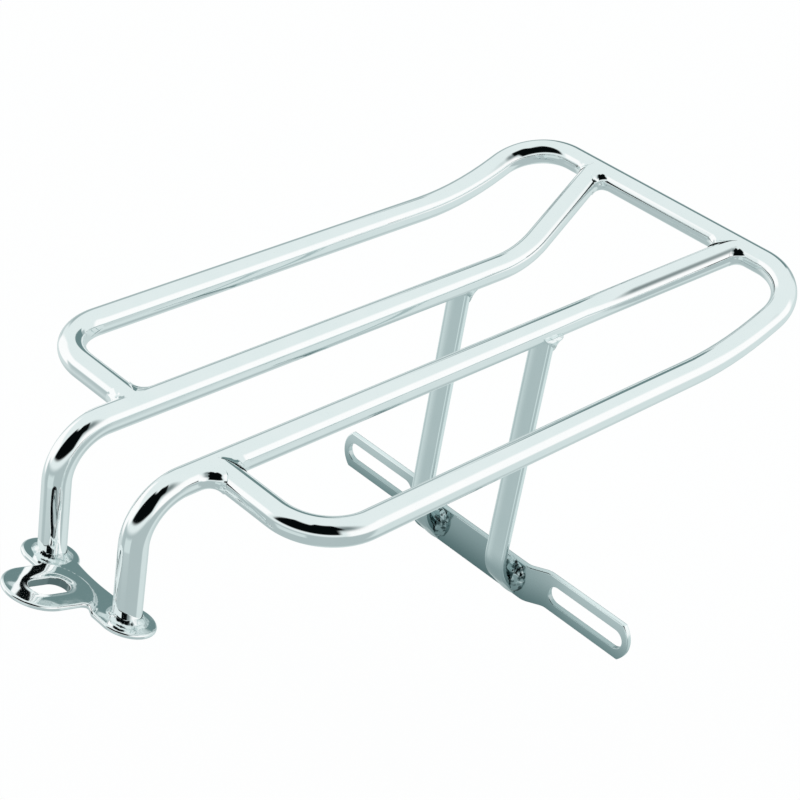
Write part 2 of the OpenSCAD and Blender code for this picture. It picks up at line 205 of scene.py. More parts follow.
# A white floor well below the rack. To the camera it is the white of the backdrop
# with the rack's faint shadow; the room above already holds what chrome shows of it.
FLOOR_Z = -0.09
FLOOR_HALF = 12.0
floor_corners = ((-1, -1), (1, -1), (1, 1), (-1, 1))
floor_mesh = bpy.data.meshes.new("floor")
floor_mesh.from_pydata(
    [(x * FLOOR_HALF, y * FLOOR_HALF, FLOOR_Z) for x, y in floor_corners], [], [(0, 1, 2, 3)]
)
floor = bpy.data.objects.new("floor", floor_mesh)
bpy.context.collection.objects.link(floor)
floor.visible_glossy = False
# Matt paper: seen straight it glows nearly white by itself, and takes a small share of
# the real light, which is enough to leave the shadow in it
PAPER_GLOW = 0.94
paper = bpy.data.materials.new("white paper sweep")
paper.use_nodes = True
tree = paper.node_tree
tree.nodes.clear()
matt = add(
    tree, "ShaderNodeBsdfDiffuse", inputs={"Color": linear("#f6f8f8"), "Roughness": 0.6}
).outputs[0]
glow = add(
    tree, "ShaderNodeEmission", inputs={"Color": linear("#ffffff"), "Strength": PAPER_GLOW}
).outputs[0]
faint = add(tree, "ShaderNodeBsdfDiffuse", inputs={"Color": linear("#555555")}).outputs[0]
seen = add(tree, "ShaderNodeAddShader", inputs={0: faint, 1: glow}).outputs[0]
rays = add(tree, "ShaderNodeLightPath").outputs
mixed = add(
    tree, "ShaderNodeMixShader", inputs={0: rays["Is Camera Ray"], 1: matt, 2: seen}
).outputs[0]
add(tree, "ShaderNodeOutputMaterial", inputs={"Surface": mixed})
floor_mesh.materials.append(paper)


# The outer loop and the two rails: half-inch round steel tube, drawn, bent on formers,
# coped where one meets another, then polished and chrome plated after welding.
# Lengths are in millimetres from the middle of the platform's front.
TUBE_R = 6.35
RAIL_X = 26.5
SIDE_X = 91.5
# Where the loop starts to rise, its rear cross tube, and how high that lies
LOOP_RISE_Y = 261.0
LOOP_END_Y = 316.0
LOOP_RISE = 20.0
FRONT_CORNER_R = 26.5
RISE_R = 160.0
REAR_CORNER_R = 27.5
# Where the rails splay, where they end, and their legs, which lean back two degrees
KINK_Y = 241.0
KINK_R = 90.0
RAIL_END_X = 48.0
LEG_Y = -40.0
LEG_L = 60.6
LEG_R = 23.5
LEG_LEAN = math.radians(2)
SIDES = ((-1, "left"), (1, "right"))


def metres(points):
    """Points in millimetres from the platform's front, in metres in the rack's frame."""
    return (np.asarray(points, float) + PLATFORM) / 1000


def unit(vector):
    """The vector at length one."""
    vector = np.asarray(vector, float)
    return vector / np.linalg.norm(vector)


def bent_line(points, radii, turn=2.5):
    """Places and directions along a line bent at each inner point, every turn degrees."""
    points = [np.asarray(p, float) for p in points]
    places, ways = [points[0]], [unit(points[1] - points[0])]
    for a, b, c, r in zip(points, points[1:], points[2:], radii):
        u, w = unit(b - a), unit(c - b)
        angle = math.acos(np.clip(u @ w, -1, 1))
        inward = unit(w - u * (u @ w))
        start = b - u * r * math.tan(angle / 2)
        count = max(2, int(math.degrees(angle) / turn))
        for k in range(count + 1):
            t = angle * k / count
            places.append(start + r * (u * math.sin(t) + inward * (1 - math.cos(t))))
            ways.append(unit(u * math.cos(t) + inward * math.sin(t)))
    places.append(points[-1])
    ways.append(unit(points[-1] - points[-2]))
    return np.array(places), np.array(ways)


def solid(name, points, faces, normals=None):
    """A smooth mesh object from points in millimetres, on the rack's body. Where it has
    no normals of its own, edges sharper than 60 degrees stay sharp."""
    mesh = bpy.data.meshes.new(name)
    mesh.from_pydata(metres(points).tolist(), [], faces)
    mesh.validate()
    mesh.shade_smooth()
    if normals is None:
        mesh.set_sharp_from_angle(angle=math.radians(60))
    else:
        mesh.normals_split_custom_set_from_vertices(np.asarray(normals).tolist())
    piece = bpy.data.objects.new(name, mesh)
    bpy.context.collection.objects.link(piece)
    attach(piece, "root")
    return piece


def ring_faces(rings, around, closed=False):
    """Quads between one ring of points and the next."""
    faces = []
    for i in range(rings if closed else rings - 1):
        j = (i + 1) % rings
        for k in range(around):
            m = (k + 1) % around
            faces.append((i * around + k, i * around + m, j * around + m, j * around + k))
    return faces


def swept(places, ways, section, across):
    """Points, normals and faces of a bar of constant section along a line. section holds
    (offset, normal) pairs, and its first axis starts out as across."""
    side = unit(across)
    points, normals = [], []
    for place, way in zip(places, ways):
        side = unit(side - way * (side @ way))
        other = np.cross(way, side)
        for (x, y), (nx, ny) in section:
            points.append(place + x * side + y * other)
            normals.append(nx * side + ny * other)
    count = len(section)
    first_end = tuple(reversed(range(count)))
    last_end = tuple(range(len(points) - count, len(points)))
    return points, normals, ring_faces(len(places), count) + [first_end, last_end]


def circle(radius, sides):
    """A round section."""
    angles = [2 * math.pi * k / sides for k in range(sides)]
    return [
        ((radius * math.cos(a), radius * math.sin(a)), (math.cos(a), math.sin(a)))
        for a in angles
    ]


def tube(name, points, radii):
    """Half-inch tube bent along a line."""
    places, ways = bent_line(points, radii)
    upright = abs(ways[0][2]) >= 0.9
    across = np.cross(ways[0], (1, 0, 0) if upright else (0, 0, 1))
    points, normals, faces = swept(places, ways, circle(TUBE_R, 72), across)
    return solid(name, points, faces, normals)


def plated(name, polish, wave, length, grain):
    """Bright chrome over polished steel. polish is the roughness, wave the height and
    length the length in millimetres of the shallow waves that forming and polishing
    leave, and grain the height of the fine ones."""
    material = bpy.data.materials.new(name)
    material.use_nodes = True
    tree = material.node_tree
    tree.nodes.clear()
    place = add(tree, "ShaderNodeTexCoord").outputs["Object"]
    # A noise cell is about as long as one wave
    broad = add(
        tree, "ShaderNodeTexNoise", inputs={"Vector": place, "Scale": 1000 / length, "Detail": 1.0}
    ).outputs["Fac"]
    # Ripple about 4 mm long, which only breaks the edges of the reflections
    fine = add(
        tree, "ShaderNodeTexNoise", inputs={"Vector": place, "Scale": 1000 / 4.17, "Detail": 2.0}
    ).outputs["Fac"]
    # Handling haze in patches about 12 mm across
    haze = add(
        tree, "ShaderNodeTexNoise", inputs={"Vector": place, "Scale": 1000 / 12.5, "Detail": 4.0}
    ).outputs["Fac"]
    rough = add(
        tree,
        "ShaderNodeMapRange",
        inputs={
            "Value": haze,
            "From Min": 0.35,
            "From Max": 0.75,
            "To Min": polish,
            "To Max": polish * 2.2,
        },
    ).outputs["Result"]
    tint = add(
        tree,
        "ShaderNodeMix",
        {"data_type": "RGBA"},
        {0: haze, 6: linear("#ffffff"), 7: linear("#f7fbfb")},
    ).outputs[2]
    waves = add(
        tree,
        "ShaderNodeBump",
        inputs={"Height": broad, "Distance": wave / 1000, "Strength": 1.0},
    ).outputs["Normal"]
    ripple = add(
        tree,
        "ShaderNodeBump",
        inputs={"Height": fine, "Distance": grain / 1000, "Strength": 1.0, "Normal": waves},
    ).outputs["Normal"]
    shell = add(
        tree,
        "ShaderNodeBsdfPrincipled",
        inputs={"Base Color": tint, "Metallic": 1.0, "Roughness": rough, "Normal": ripple},
    ).outputs[0]
    add(tree, "ShaderNodeOutputMaterial", inputs={"Surface": shell})
    return material


def finish_piece(piece, material, node):
    """Gives a piece its finish and hides the part of the model that it stands for."""
    piece.data.materials.append(material)
    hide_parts(node)


# Chrome over buffed tube is a clean mirror, so the room runs along it in straight bands
tube_chrome = plated(
    "bright chrome on drawn steel tube", polish=0.035, wave=0.05, length=35, grain=0.002
)
loop_path = [
    (RAIL_X, 0, 0),
    (SIDE_X, 0, 0),
    (SIDE_X, LOOP_RISE_Y, 0),
    (SIDE_X, LOOP_END_Y, LOOP_RISE),
    (-SIDE_X, LOOP_END_Y, LOOP_RISE),
    (-SIDE_X, LOOP_RISE_Y, 0),
    (-SIDE_X, 0, 0),
    (-RAIL_X, 0, 0),
]
half_radii = [FRONT_CORNER_R, RISE_R, REAR_CORNER_R]
loop = tube("loop", loop_path, half_radii + half_radii[::-1])
finish_piece(loop, tube_chrome, "outer_loop")
for side, word in SIDES:
    rail_path = [
        (side * RAIL_X, LEG_Y - LEG_L * math.tan(LEG_LEAN), -LEG_L),
        (side * RAIL_X, LEG_Y, 0),
        (side * RAIL_X, KINK_Y, 0),
        (side * RAIL_END_X, LOOP_END_Y, LOOP_RISE),
    ]
    rail = tube("rail_" + word, rail_path, (LEG_R, KINK_R))
    finish_piece(rail, tube_chrome, word + "_rail")


# The front plate: 2.5 mm steel, blanked and pressed with a low step round the bolt
# slot, its edges rounded by tumbling, welded under the feet of the legs and chromed.

# Places on the plate are in its own plane, from the middle between the legs
PLATE_T = 2.5
PLATE_TILT = math.radians(17.5)
PLATE_DROP = 60.0
EAR_X = 27.0
EAR_R = 13.0
TONGUE_R = 16.0
TONGUE_TIP = 43.5
NOTCH_R = 4.0
HOLLOW_R = 90.0
HOLLOW_Y = 96.0
# The step is a slope between two circles about the slot
STEP_H = 2.8
STEP_IN = 18.5
STEP_OUT = 21.5
BOLT_SLOT_Y = 22.0
BOLT_SLOT_L = 19.5
BOLT_SLOT_W = 11.5
# The punch drew the metal round the slot down by this much, over this width
DRAWN = 0.32
DRAWN_W = 2.2


def arc(centre, radius, start, end, spacing=0.8):
    """Points every spacing millimetres along an arc, in degrees, without its last point."""
    count = max(3, int(abs(math.radians(end - start)) * radius / spacing))
    angles = np.radians(np.linspace(start, end, count, endpoint=False))
    return np.column_stack(
        (centre[0] + radius * np.cos(angles), centre[1] + radius * np.sin(angles))
    )


def line(start, end, spacing=0.8):
    """Points along a straight line, without its last point."""
    start, end = np.asarray(start, float), np.asarray(end, float)
    count = max(1, int(np.linalg.norm(end - start) / spacing))
    return start + (end - start) * np.linspace(0, 1, count, endpoint=False)[:, None]


def inside(loop, points):
    """Which points lie inside a closed loop."""
    x, y = points[:, 0], points[:, 1]
    hit = np.zeros(len(points), bool)
    for (ax, ay), (bx, by) in zip(loop, np.roll(loop, -1, 0)):
        if ay != by:
            hit ^= ((ay > y) != (by > y)) & (x < (bx - ax) * (y - ay) / (by - ay) + ax)
    return hit


def on_sheet(loops, points):
    """Which points lie inside the outer loop and outside the holes."""
    kept = inside(loops[0], points)
    for hole in loops[1:]:
        kept &= ~inside(hole, points)
    return kept


def rounded_wall(thickness, edge, drop, steps=5):
    """A cut wall with both its edges rounded, from the top face to the bottom one, as
    (offset, height, angle of the normal). drop is how far its lower edge is drawn down."""
    wall = []
    for k in range(steps + 1):
        t = math.pi / 2 * (1 - k / steps)
        wall.append((-edge * (1 - math.cos(t)), thickness - edge * (1 - math.sin(t)), t))
    for k in range(steps + 1):
        t = -math.pi / 2 * k / steps
        wall.append((-edge * (1 - math.cos(t)), edge * (1 + math.sin(t)) - drop, t))
    return wall


def bent(flat, normals, place):
    """A flat sheet's points and normals, taken to shape by place."""
    step = 1e-3
    points = place(*flat.T)
    columns = [(place(*(flat + np.eye(3)[i] * step).T) - points) / step for i in range(3)]
    # The normals turn by the inverse of the bend, transposed
    bend = np.linalg.inv(np.stack(columns, 2))
    turned = np.einsum("nij,ni->nj", bend, normals)
    return points, turned / np.linalg.norm(turned, axis=1)[:, None]


def sheet(name, loops, thickness, edges, lip, place, cells):
    """Sheet metal cut to loops, the outer one anticlockwise and the holes clockwise. edges
    are how far the outer edge and the holes' edges are rounded, and lip is how far the
    punch drew the holes' walls down. place(u, v, w) bends the sheet to shape, w being 0
    to thickness, and cells are the points inside that its bends need."""
    flat, normals, faces, shade_mask = [], [], [], []
    top, under, borders, rims = [], {}, [], []
    for number, loop in enumerate(loops):
        edge, drop = (edges[1], lip) if number else (edges[0], 0.0)
        wall = rounded_wall(thickness, edge, drop)
        ahead = np.roll(loop, -1, 0) - np.roll(loop, 1, 0)
        out = np.column_stack((ahead[:, 1], -ahead[:, 0]))
        out /= np.linalg.norm(out, axis=1)[:, None]
        base, start, count = len(flat), len(top), len(loop)
        for level, (offset, w, t) in enumerate(wall):
            # A hole's wall is a recess from the foot of its rounded top edge down; it and the
            # underside are marked for painted shade
            shade_mask += [1.0 if number and level >= len(wall) // 2 - 1 else 0.0] * count
            for (u, v), (nu, nv) in zip(loop, out):
                flat.append((u + nu * offset, v + nv * offset, w))
                normals.append((nu * math.cos(t), nv * math.cos(t), math.sin(t)))
        for k in range(count):
            m = (k + 1) % count
            for a in range(base, base + (len(wall) - 1) * count, count):
                faces.append((a + k, a + count + k, a + count + m, a + m))
            top.append(base + k)
            under[base + k] = base + (len(wall) - 1) * count + k
            borders.append((start + k, start + m))
        rims.append(np.array(flat[base : base + count])[:, :2])
    cells = cells[on_sheet(rims, cells)]
    edge_points = np.vstack(rims)
    gap = np.sqrt(((cells[:, None] - edge_points[None]) ** 2).sum(2)).min(1)
    # Cells nearer to the edge than this would only make slivers
    cells = cells[gap > 0.45]
    for u, v in cells:
        top.append(len(flat))
        under[len(flat)] = len(flat) + 1
        flat += [(u, v, thickness), (u, v, 0.0)]
        normals += [(0, 0, 1), (0, 0, -1)]
        shade_mask += [0.0, 1.0]
    spots = [Vector(p) for p in np.vstack((edge_points, cells))]
    made, _, triangles, origins, _, _ = delaunay_2d_cdt(spots, borders, [], 0, 1e-5)
    corners = [top[ids[0]] for ids in origins]
    middles = np.array([p[:] for p in made])[np.array(triangles)].mean(1)
    for used, (a, b, c) in zip(on_sheet(rims, middles), triangles):
        if used:
            a, b, c = corners[a], corners[b], corners[c]
            faces += [(a, b, c), (under[c], under[b], under[a])]
    points, turned = bent(np.array(flat, float), np.array(normals, float), place)
    piece = solid(name, points, faces, turned)
    # The mask of the slot's walls and the underside, where the plate's chrome gets painted shade
    shade_mark = piece.data.attributes.new("shade_mask", "FLOAT", "POINT")
    shade_mark.data.foreach_set("value", np.array(shade_mask, np.float32))
    return piece


def grid(low, high, spacing):
    """A staggered grid of points over a box."""
    rows = np.arange(low[1], high[1], spacing * 0.866)
    out = []
    for i, v in enumerate(rows):
        us = np.arange(low[0] + (i % 2) * spacing / 2, high[0], spacing)
        out.append(np.column_stack((us, np.full(len(us), v))))
    return np.vstack(out)


def plate_outline():
    """The plate's outline in its own plane, from the right ear round anticlockwise."""
    # The hollow rear edge cuts each ear at this angle about the ear
    far = math.hypot(EAR_X, HOLLOW_Y)
    turn = math.acos((EAR_R**2 + far**2 - HOLLOW_R**2) / (2 * EAR_R * far))
    cut = math.degrees(math.atan2(HOLLOW_Y, -EAR_X) + turn)
    x = EAR_X + EAR_R * math.cos(math.radians(cut))
    low = math.degrees(math.atan2(EAR_R * math.sin(math.radians(cut)) - HOLLOW_Y, x))
    notch_x, notch_y = TONGUE_R + NOTCH_R, -EAR_R - NOTCH_R
    tip_y = -TONGUE_TIP + TONGUE_R
    parts = [
        arc((EAR_X, 0), EAR_R, -90, cut),
        arc((0, HOLLOW_Y), HOLLOW_R, low, -180 - low),
        arc((-EAR_X, 0), EAR_R, 180 - cut, 270),
        line((-EAR_X, -EAR_R), (-notch_x, -EAR_R)),
        arc((-notch_x, notch_y), NOTCH_R, 90, 0),
        line((-TONGUE_R, notch_y), (-TONGUE_R, tip_y)),
        arc((0, tip_y), TONGUE_R, 180, 360),
        line((TONGUE_R, tip_y), (TONGUE_R, notch_y)),
        arc((notch_x, notch_y), NOTCH_R, 180, 90),
        line((notch_x, -EAR_R), (EAR_X, -EAR_R)),
    ]
    return np.vstack(parts)


def slot_loop(middle, length, width, upright=False):
    """A round-ended slot's edge, clockwise."""
    r, half = width / 2, (length - width) / 2
    parts = [
        arc((half, 0), r, 90, -90, 0.5),
        line((half, -r), (-half, -r)),
        arc((-half, 0), r, -90, -270, 0.5),
        line((-half, r), (half, r)),
    ]
    edge = np.vstack(parts)
    if upright:
        edge = np.column_stack((-edge[:, 1], edge[:, 0]))
    return edge + np.asarray(middle)


def plate_place(u, v, w):
    """The plate pressed to its step, tilted, and laid under the feet of the legs."""
    far = np.hypot(u, np.maximum(v + BOLT_SLOT_Y, 0))
    t = np.clip((far - STEP_IN) / (STEP_OUT - STEP_IN), 0, 1)
    z = w - PLATE_T + STEP_H * (1 - t * t * (3 - 2 * t))
    along = np.maximum(np.abs(v + BOLT_SLOT_Y) - (BOLT_SLOT_L - BOLT_SLOT_W) / 2, 0)
    from_slot = np.hypot(u, along) - BOLT_SLOT_W / 2
    z -= DRAWN * np.exp(-((np.maximum(from_slot, 0) / DRAWN_W) ** 2))
    seat_y = LEG_Y - PLATE_DROP * math.tan(LEG_LEAN)
    y = seat_y + v * math.cos(PLATE_TILT) + z * math.sin(PLATE_TILT)
    return np.column_stack(
        (u, y, -PLATE_DROP - v * math.sin(PLATE_TILT) + z * math.cos(PLATE_TILT))
    )


# Chrome over pressed plate is a mirror too, but the press left it wavy, so reflections
# in it bend and swim
plate_chrome = plated(
    "bright chrome on pressed steel plate", polish=0.04, wave=0.30, length=13, grain=0.004
)
# Painted shade: the chrome on the slot's walls and under the plate is greyed, where they lie in
# shade
tree = plate_chrome.node_tree
shell = tree.nodes["Principled BSDF"]
shade_mark = add(tree, "ShaderNodeAttribute", {"attribute_name": "shade_mask"}).outputs["Fac"]
base = shell.inputs["Base Color"].links[0].from_socket
base = add(
    tree, "ShaderNodeMix", {"data_type": "RGBA"}, {0: shade_mark, 6: base, 7: linear("#7b8b8c")}
).outputs[2]
tree.links.new(base, shell.inputs["Base Color"])
bolt_slot = slot_loop((0, -BOLT_SLOT_Y), BOLT_SLOT_L, BOLT_SLOT_W, upright=True)
# Points over a box a little larger than the plate, close enough for its step
plate_cells = grid((-42, -46), (42, 14), 1.1)
plate = sheet(
    "plate",
    [plate_outline(), bolt_slot],
    PLATE_T,
    edges=(1.1, 0.5),
    lip=1.3,
    place=plate_place,
    cells=plate_cells,
)
finish_piece(plate, plate_chrome, "front_plate")


# The rear strap: 22 by 3.2 mm flat bar, cropped to round ends, slotted on a punch and
# set forward in the middle by a double bend, then welded to the struts and chromed.
STRAP_T = 3.2
STRAP_W = 22.0
STRAP_END_X = 90.0
STRAP_END_R = 15.0
STRAP_SLOT_X = 76.2
STRAP_SLOT_L = 50.0
STRAP_SLOT_W = 11.0
# How far the middle is set forward, and how far out each double bend ends
SET = 5.5
SET_X = 51.2
BEND_R = 8.0
SLOPE = math.radians(30)
# How far one bend runs along the bar and across it
BEND_X = BEND_R * math.sin(SLOPE)
BEND_Y = BEND_R * (1 - math.cos(SLOPE))
MID_X = SET_X - 2 * BEND_X - (SET - 2 * BEND_Y) / math.tan(SLOPE)
MID_Y = STRAP_BACK - SET + STRAP_T / 2
END_Y = STRAP_BACK + STRAP_T / 2


def strap_line(x):
    """How far back the middle of the bar lies at x, and its slope there."""
    a = np.abs(x)
    first, last = a - MID_X, SET_X - a
    y = np.full_like(a, MID_Y)
    slope = np.zeros_like(a)
    inner = (first > 0) & (first < BEND_X)
    straight = (first >= BEND_X) & (last > BEND_X)
    outer = (last <= BEND_X) & (last > 0)
    s = np.clip(first / BEND_R, 0, 0.999)
    y = np.where(inner, MID_Y + BEND_R * (1 - np.sqrt(1 - s * s)), y)
    slope = np.where(inner, s / np.sqrt(1 - s * s), slope)
    y = np.where(straight, MID_Y + BEND_Y + (first - BEND_X) * math.tan(SLOPE), y)
    slope = np.where(straight, math.tan(SLOPE), slope)
    s = np.clip(last / BEND_R, 0, 0.999)
    y = np.where(outer, END_Y - BEND_R * (1 - np.sqrt(1 - s * s)), y)
    slope = np.where(outer, s / np.sqrt(1 - s * s), slope)
    y = np.where(last <= 0, END_Y, y)
    return y, slope * np.sign(x)


def strap_place(u, v, w):
    """The bar bent and hung in its place. Seen from the front, so w runs forward."""
    y, slope = strap_line(u)
    length = np.sqrt(1 + slope * slope)
    out = w - STRAP_T / 2
    return np.column_stack((u + out * slope / length, y - out / length, v - STRAP_DROP))


def strap_outline():
    """The bar's outline, with its round ends, anticlockwise."""
    half = STRAP_W / 2
    swing = math.degrees(math.asin(half / STRAP_END_R))
    corner = STRAP_END_X + math.sqrt(STRAP_END_R**2 - half**2)
    parts = [
        arc((STRAP_END_X, 0), STRAP_END_R, -swing, swing, 0.5),
        line((corner, half), (-corner, half), 1.0),
        arc((-STRAP_END_X, 0), STRAP_END_R, 180 - swing, 180 + swing, 0.5),
        line((-corner, -half), (corner, -half), 1.0),
    ]
    return np.vstack(parts)


# Chrome over flat bar that was only brushed: a softer mirror that spreads the room out
bar_chrome = plated("chrome on flat steel bar", polish=0.08, wave=0.06, length=30, grain=0.004)


def paint_strap_shade(material):
    """Paints shade into a chrome's colour, as on the strap: it is greyed towards the strap's lower
    edge and between the struts."""
    tree = material.node_tree
    shell = tree.nodes["Principled BSDF"]
    place = add(tree, "ShaderNodeTexCoord").outputs["Object"]
    place = add(tree, "ShaderNodeSeparateXYZ", inputs={"Vector": place}).outputs
    aside = add(tree, "ShaderNodeMath", {"operation": "ABSOLUTE"}, {0: place["X"]}).outputs[0]
    # Heights and distances from the strap's middle, in metres
    low, high, ends = [
        add(
            tree,
            "ShaderNodeMapRange",
            {"interpolation_type": "SMOOTHSTEP"},
            {"Value": value, "From Min": start, "From Max": end},
        ).outputs["Result"]
        for value, start, end in (
            (place["Z"], -0.015, 0.012),
            (place["Z"], 0.008, 0.022),
            (aside, 0.026, 0.075),
        )
    ]
    ends = add(tree, "ShaderNodeMath", {"operation": "MAXIMUM"}, {0: ends, 1: high}).outputs[0]
    # Painted shade: the shaded colour lies low down and near the middle, the full one elsewhere
    for share, shaded, full in ((ends, "#c3d0d1", "#fafefe"), (low, "#9db1b2", "#ffffff")):
        grey = add(
            tree,
            "ShaderNodeMix",
            {"data_type": "RGBA"},
            {0: share, 6: linear(shaded), 7: linear(full)},
        ).outputs[2]
        base = shell.inputs["Base Color"].links[0].from_socket
        base = add(
            tree,
            "ShaderNodeMix",
            {"data_type": "RGBA", "blend_type": "MULTIPLY"},
            {0: 1.0, 6: base, 7: grey},
        ).outputs[2]
        tree.links.new(base, shell.inputs["Base Color"])


# The strap's and struts' chrome takes the painted shade
paint_strap_shade(bar_chrome)
# Close points over the double bends, and wide ones over the rest
DOUBLE_BEND_X = 44.5
DOUBLE_BEND_HALF = 9.0
strap_half = STRAP_W / 2
strap_end = STRAP_END_X + STRAP_END_R
strap_cells = [
    grid(
        (side * DOUBLE_BEND_X - DOUBLE_BEND_HALF, -strap_half),
        (side * DOUBLE_BEND_X + DOUBLE_BEND_HALF, strap_half),
        1.0,
    )
    for side, _ in SIDES
]
strap_cells.append(grid((-strap_end, -strap_half), (strap_end, strap_half), 5.0))
strap_slots = [
    slot_loop((side * STRAP_SLOT_X, 0), STRAP_SLOT_L, STRAP_SLOT_W) for side, _ in SIDES
]
strap = sheet(
    "strap",
    [strap_outline()] + strap_slots,
    STRAP_T,
    edges=(0.8, 0.5),
    lip=0.0,
    place=strap_place,
    cells=np.vstack(strap_cells),
)
finish_piece(strap, bar_chrome, "rear_strap")


# The struts: 12.7 by 4.8 mm flat bar, butted and welded under the rails, leaning a
# little forward on the way down and bent back at the foot on to the strap.
BAR_W = 12.7
BAR_T = 4.8
STRUT_X = 28.0
STRUT_Y = 199.5
FORWARD = math.radians(2.3)
FOOT = math.radians(40)
FOOT_R = 26.0
STRAP_FACE = STRAP_BACK - SET
# How far a strut's top reaches into the rail, and over what half width it follows it
SEATED = 0.4
SEAT_HALF = 5.5
# How far the foot's end reaches into the strap
FOOT_IN = 0.05
foot_z = -STRAP_DROP - STRAP_W / 2 + BAR_T / 2 / math.sin(FOOT)
bend_y = FOOT_R * (math.cos(FORWARD) - math.cos(FOOT))
bend_z = FOOT_R * (math.sin(FOOT) + math.sin(FORWARD))
foot_length = (
    STRAP_FACE - STRUT_Y - bend_y + math.tan(FORWARD) * (-foot_z - bend_z)
) / (math.sin(FOOT) + math.tan(FORWARD) * math.cos(FOOT))
# Where the straight upper part and the straight foot would cross
past_bend = foot_length + FOOT_R * math.tan((FOOT + FORWARD) / 2)
knee_y = STRAP_FACE - past_bend * math.sin(FOOT)
knee_z = foot_z + past_bend * math.cos(FOOT)


def flat_section(width, thickness, edge, crown, steps=6):
    """A flat bar's section with rounded edges, and faces crowned by the polishing wheel."""
    half = width / 2 - edge
    tilt = 2 * crown / half
    out = []
    for cx, cy, start in ((1, 1, 0), (-1, 1, 90), (-1, -1, 180), (1, -1, 270)):
        for k in range(steps + 1):
            a = math.radians(start + 90 * k / steps)
            x = cx * half + edge * math.cos(a)
            y = cy * (thickness / 2 - edge - crown) + edge * math.sin(a)
            out.append(((x, y), (math.cos(a), math.sin(a))))
        # The broad face that starts at this corner
        for k in range(1, 8 if cx == cy else 0):
            f = cx * (1 - k / 4)
            out.append(((f * half, cy * (thickness / 2 - crown * f * f)), (tilt * f, cy)))
    return [(spot, tuple(unit(normal))) for spot, normal in out]


bar_section = flat_section(BAR_W, BAR_T, edge=1.3, crown=0.4)
for side, word in SIDES:
    x = side * STRUT_X
    path = [(x, STRUT_Y, 0), (x, knee_y, knee_z), (x, STRAP_FACE, foot_z)]
    places, ways = bent_line(path, (FOOT_R,), turn=2.0)
    points, normals, faces = swept(places, ways, bar_section, across=(1, 0, 0))
    points = np.array(points)
    head, foot = points[: len(bar_section)], points[-len(bar_section) :]
    # The top is cut to the rail's underside, and the foot to the strap's face
    over = np.clip(head[:, 0] - side * RAIL_X, -SEAT_HALF, SEAT_HALF)
    seat = -np.sqrt(TUBE_R**2 - over**2) + SEATED
    head += np.outer((seat - head[:, 2]) / ways[0][2], ways[0])
    foot += np.outer((STRAP_FACE + FOOT_IN - foot[:, 1]) / ways[-1][1], ways[-1])
    strut = solid("strut_" + word, points, faces, normals)
    finish_piece(strut, bar_chrome, word + "_strut")


# The beads round the tubes: fillets laid by hand where the loop and the rails meet,
# dressed and polished with the tube, and round the feet of the legs on the plate, where
# they were only wire brushed, so they are bright but rippled.

# The spacing of the ripples that the weld pools left
POOL_L = 2.6
# How far a bead's edges lie under the skins, so that no gap shows
SUNK = 0.02
# How far below the plate the leg's line starts, so that it crosses the plate all round
BELOW_PLATE = 8.0
# About a full turn, for random phases
TURN = 6.28


def laid(name, light, stain, pit):
    """Chrome over a bead as it was laid: light where it took well, stain in patches where
    slag lay, and black pits. pit is the share of the bead, 0 to 1, that has pits."""
    material = bpy.data.materials.new(name)
    material.use_nodes = True
    tree = material.node_tree
    tree.nodes.clear()
    place = add(tree, "ShaderNodeTexCoord").outputs["Object"]
    # Ripples and spatter about 1.2 mm across, and patches about 3 mm across
    lumps = add(
        tree, "ShaderNodeTexNoise", inputs={"Vector": place, "Scale": 1000 / 1.25, "Detail": 3.0}
    ).outputs["Fac"]
    patchy = add(
        tree, "ShaderNodeTexNoise", inputs={"Vector": place, "Scale": 1000 / 2.941, "Detail": 2.0}
    ).outputs["Fac"]
    stained = add(
        tree,
        "ShaderNodeMapRange",
        inputs={"Value": patchy, "From Min": 0.47, "From Max": 0.60},
    ).outputs["Result"]
    tint = add(
        tree,
        "ShaderNodeMix",
        {"data_type": "RGBA"},
        {0: stained, 6: linear(light), 7: linear(stain)},
    ).outputs[2]
    # Pits under a millimetre across and about 1.8 mm apart, in the darkest patches only
    pits = add(
        tree, "ShaderNodeTexVoronoi", inputs={"Vector": place, "Scale": 1000 / 1.786}
    ).outputs["Distance"]
    pitted = add(
        tree,
        "ShaderNodeMapRange",
        inputs={
            "Value": pits,
            "From Min": 0.12,
            "From Max": 0.30,
            "To Min": 1.0,
            "To Max": 0.0,
        },
    ).outputs["Result"]
    where = add(
        tree,
        "ShaderNodeMapRange",
        inputs={"Value": patchy, "From Min": 0.66 - 0.2 * pit, "From Max": 0.74 - 0.2 * pit},
    ).outputs["Result"]
    pitted = add(
        tree, "ShaderNodeMath", {"operation": "MULTIPLY"}, {0: pitted, 1: where}
    ).outputs[0]
    tint = add(
        tree, "ShaderNodeMix", {"data_type": "RGBA"}, {0: pitted, 6: tint, 7: linear("#141a1b")}
    ).outputs[2]
    bumps = add(
        tree, "ShaderNodeBump", inputs={"Height": lumps, "Distance": 0.00006, "Strength": 1.0}
    ).outputs["Normal"]
    shell = add(
        tree,
        "ShaderNodeBsdfPrincipled",
        inputs={"Base Color": tint, "Metallic": 1.0, "Roughness": 0.08, "Normal": bumps},
    ).outputs[0]
    add(tree, "ShaderNodeOutputMaterial", inputs={"Surface": shell})
    return material


def cylinder_skin(p, way):
    """For a round tube from p along way: takes a point to the skin, and gives its normal."""
    p, way = np.asarray(p, float), unit(way)

    def skin(spot):
        foot = p + way * ((spot - p) @ way)
        out = unit(spot - foot)
        return foot + TUBE_R * out, out

    return skin


def flat_skin(p, normal):
    """The same for a plate through p."""
    p, normal = np.asarray(p, float), unit(normal)
    return lambda spot: (spot - normal * ((spot - p) @ normal), normal)


